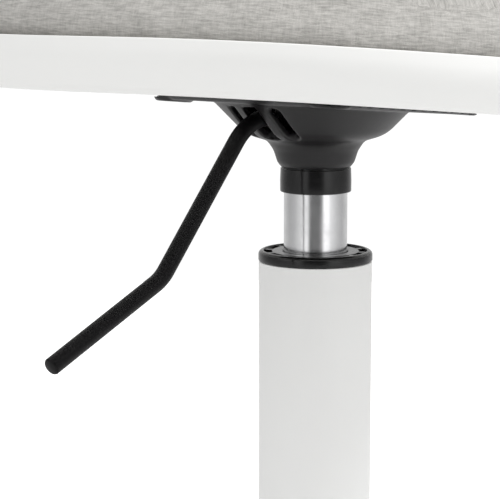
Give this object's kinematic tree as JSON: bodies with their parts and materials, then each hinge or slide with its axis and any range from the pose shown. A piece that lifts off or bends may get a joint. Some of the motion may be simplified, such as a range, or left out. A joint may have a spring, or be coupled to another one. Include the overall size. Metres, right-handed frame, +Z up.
{
  "type": "swivel stool",
  "caption": "Height-adjustable swivel stool: round tilted grey fabric seat in a white shell, gas lift with bent release lever, white column, weighted disc base.",
  "frame": {"origin": "on the floor at the column's axis", "axes": "+Z up along the column, -Y towards the lever and the high side of the seat"},
  "size_m": [0.4, 0.4, 0.4829],
  "materials": {
    "white_enamel": "satin",
    "white_plastic": "satin",
    "black_cast": "satin",
    "black_rod": "satin",
    "black_plastic": "gloss",
    "black_rubber": "matte",
    "polished_steel": "polished",
    "plain_steel": "plain",
    "cast_iron": "as cast",
    "plywood": "raw",
    "foam": "open cell foam",
    "grey_fabric": "woven melange",
    "brass": "plain"
  },
  "bodies": {
    "base": {"floor_ring": "black_rubber", "base_cover": "white_enamel", "base_weight": "cast_iron", "column_socket": "plain_steel", "base_screw_1": "plain_steel", "base_screw_2": "plain_steel", "base_screw_3": "plain_steel", "base_screw_4": "plain_steel", "column_tube": "white_enamel", "column_bottom": "plain_steel", "lower_race": "plain_steel", "guide_ring": "black_plastic"},
    "ball_cage": {"ball_cage": "brass", "bearing_ball_1": "polished_steel", "bearing_ball_2": "polished_steel", "bearing_ball_3": "polished_steel", "bearing_ball_4": "polished_steel", "bearing_ball_5": "polished_steel", "bearing_ball_6": "polished_steel", "bearing_ball_7": "polished_steel", "bearing_ball_8": "polished_steel"},
    "rod": {"piston_rod": "polished_steel", "gas_piston": "plain_steel", "upper_race": "plain_steel", "rod_bumper": "black_rubber", "rod_clip": "plain_steel"},
    "seat": {"pressure_tube": "polished_steel", "rod_seal": "black_rubber", "gas_valve": "brass", "collar": "black_plastic", "mount_plate": "black_cast", "seat_shell": "white_plastic", "seat_board": "plywood", "foam_pad": "foam", "cushion_cover": "grey_fabric", "plate_bolt_1": "black_rod", "plate_bolt_2": "black_rod", "plate_bolt_3": "black_rod", "plate_bolt_4": "black_rod", "tee_nut_1": "plain_steel", "tee_nut_2": "plain_steel", "tee_nut_3": "plain_steel", "tee_nut_4": "plain_steel"},
    "lever": {"lever_rod": "black_rod", "lever_bush": "black_plastic"},
    "pin": {"release_pin": "polished_steel"}
  },
  "joints": [
    {"name": "swivel", "type": "hinge", "parent": "base", "child": "rod", "pos_m": [0, 0, 0.35], "axis": [0, 0, 1], "continuous": true},
    {"name": "cage_spin", "type": "hinge", "parent": "base", "child": "ball_cage", "pos_m": [0, 0, 0.016], "axis": [0, 0, 1], "continuous": true},
    {"name": "height", "type": "slide", "parent": "rod", "child": "seat", "axis": [0, 0, 1], "range_m": [-0.026, 0.174]},
    {"name": "lever", "type": "hinge", "parent": "seat", "child": "lever", "pos_m": [0, -0.036, 0.4104], "axis": [-1, 0, 0], "range_deg": [0, 5], "stiffness_Nm_per_rad": 1.2, "springref_deg": -14.32},
    {"name": "pin_press", "type": "slide", "parent": "seat", "child": "pin", "axis": [0, 0, -1], "range_m": [0, 0.0032]}
  ],
  "couplings": [
    {"joint": "cage_spin", "follows": "swivel", "ratio": 0.5},
    {"joint": "pin_press", "follows": "lever", "m_per_rad": 0.036}
  ]
}
